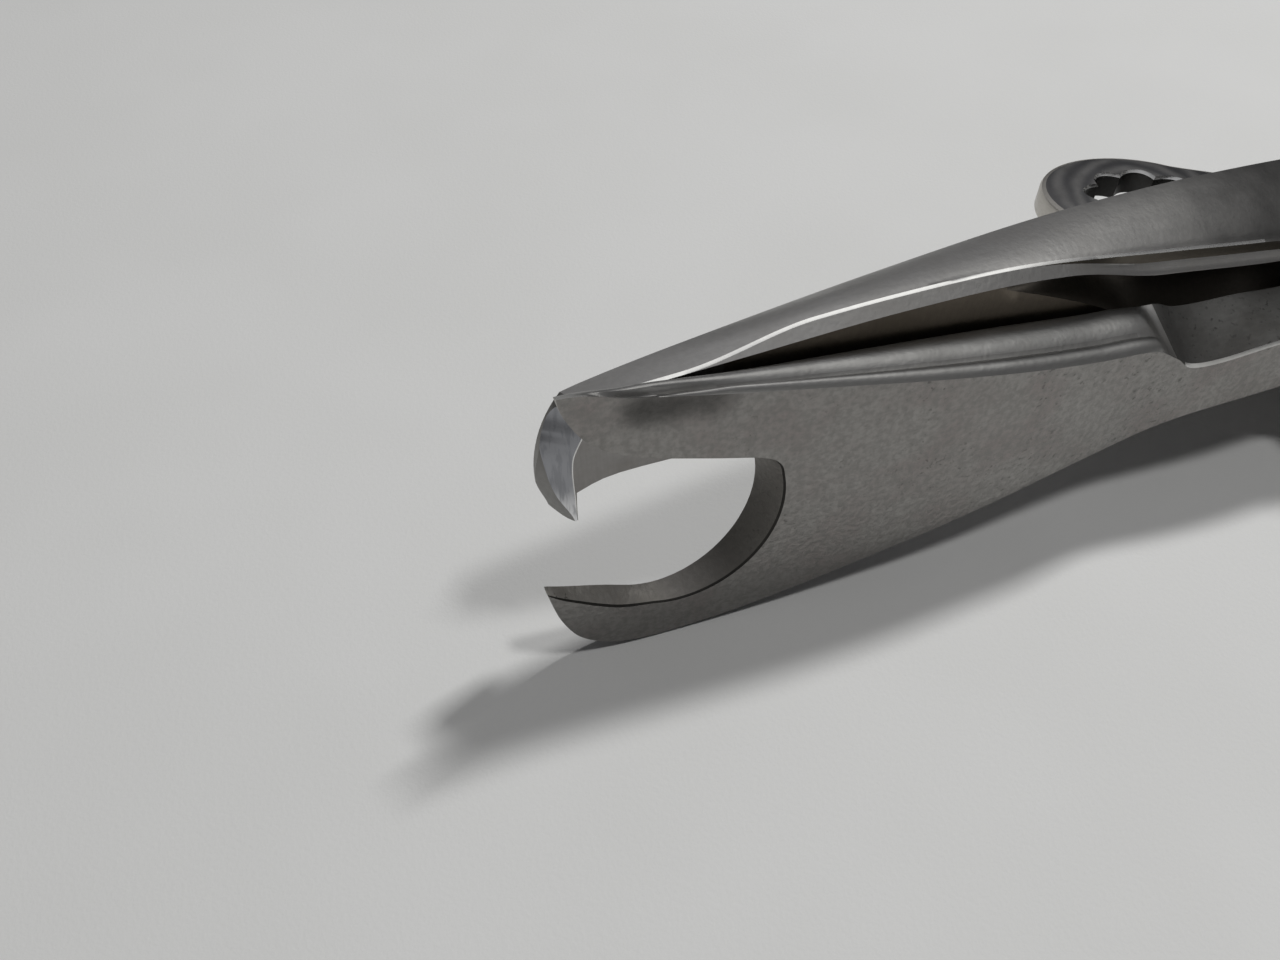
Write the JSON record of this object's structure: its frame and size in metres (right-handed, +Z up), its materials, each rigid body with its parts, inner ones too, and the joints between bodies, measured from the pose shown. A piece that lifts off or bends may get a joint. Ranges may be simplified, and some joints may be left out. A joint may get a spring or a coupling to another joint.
{
  "type": "pet nail trimmer",
  "caption": "Steel pliers-style pet nail trimmer: round-notched plate jaw, hooked cutting jaw, lap joint, leaf springs between the handles and a catch lever with a lobed eye.",
  "frame": {"origin": "centre of the bounding box's bottom face; the tool lies on its lower handle and its lower lip", "axes": "+X from the jaws to the handles, +Y away from the side with the pivot screw's head, +Z up from the lower to the upper handle"},
  "size_m": [0.1396, 0.0224, 0.0246],
  "materials": {
    "satin_steel": "satin, pitted",
    "polished_steel": "polished, worn",
    "dark_steel": "dull",
    "spring_steel": "ground"
  },
  "bodies": {
    "hook_side": {"hook_arm": "polished_steel", "pivot_screw": "polished_steel", "front_washer": "dark_steel", "rear_washer": "dark_steel", "pivot_nut": "polished_steel", "lower_leaf_screw": "polished_steel", "lower_leaf_washer": "dark_steel", "stop_nut": "dark_steel", "stop_screw": "polished_steel", "lever_post": "polished_steel", "lever_washer": "dark_steel"},
    "notched_side": {"notched_arm": "satin_steel", "upper_leaf_screw": "polished_steel", "upper_leaf_washer": "dark_steel", "catch_stud": "dark_steel"},
    "upper_spring": {"upper_leaf": "spring_steel"},
    "lower_spring": {"lower_leaf": "spring_steel"},
    "catch": {"catch_lever": "satin_steel"}
  },
  "joints": [
    {"name": "jaw_pivot", "type": "hinge", "parent": "hook_side", "child": "notched_side", "pos_m": [-0.01828, -0.00492, 0.0087], "axis": [0, 1, 0], "range_deg": [0, 8], "stiffness_Nm_per_rad": 0.5, "springref_deg": -20.05},
    {"name": "lower_leaf_bend", "type": "hinge", "parent": "hook_side", "child": "lower_spring", "pos_m": [0.01472, -0.00492, 0.00474], "axis": [0, 1, 0], "range_deg": [0, 8.5]},
    {"name": "upper_leaf_bend", "type": "hinge", "parent": "notched_side", "child": "upper_spring", "pos_m": [0.01472, -0.00492, 0.01977], "axis": [0, 1, 0], "range_deg": [-8.5, 0]},
    {"name": "catch_turn", "type": "hinge", "parent": "hook_side", "child": "catch", "pos_m": [0.00122, -0.00132, 0.00728], "axis": [0, 0, 1], "range_deg": [-20, 0]}
  ],
  "couplings": [
    {"joint": "lower_leaf_bend", "follows": "jaw_pivot", "ratio": 1.03},
    {"joint": "upper_leaf_bend", "follows": "jaw_pivot", "ratio": -1.03}
  ]
}
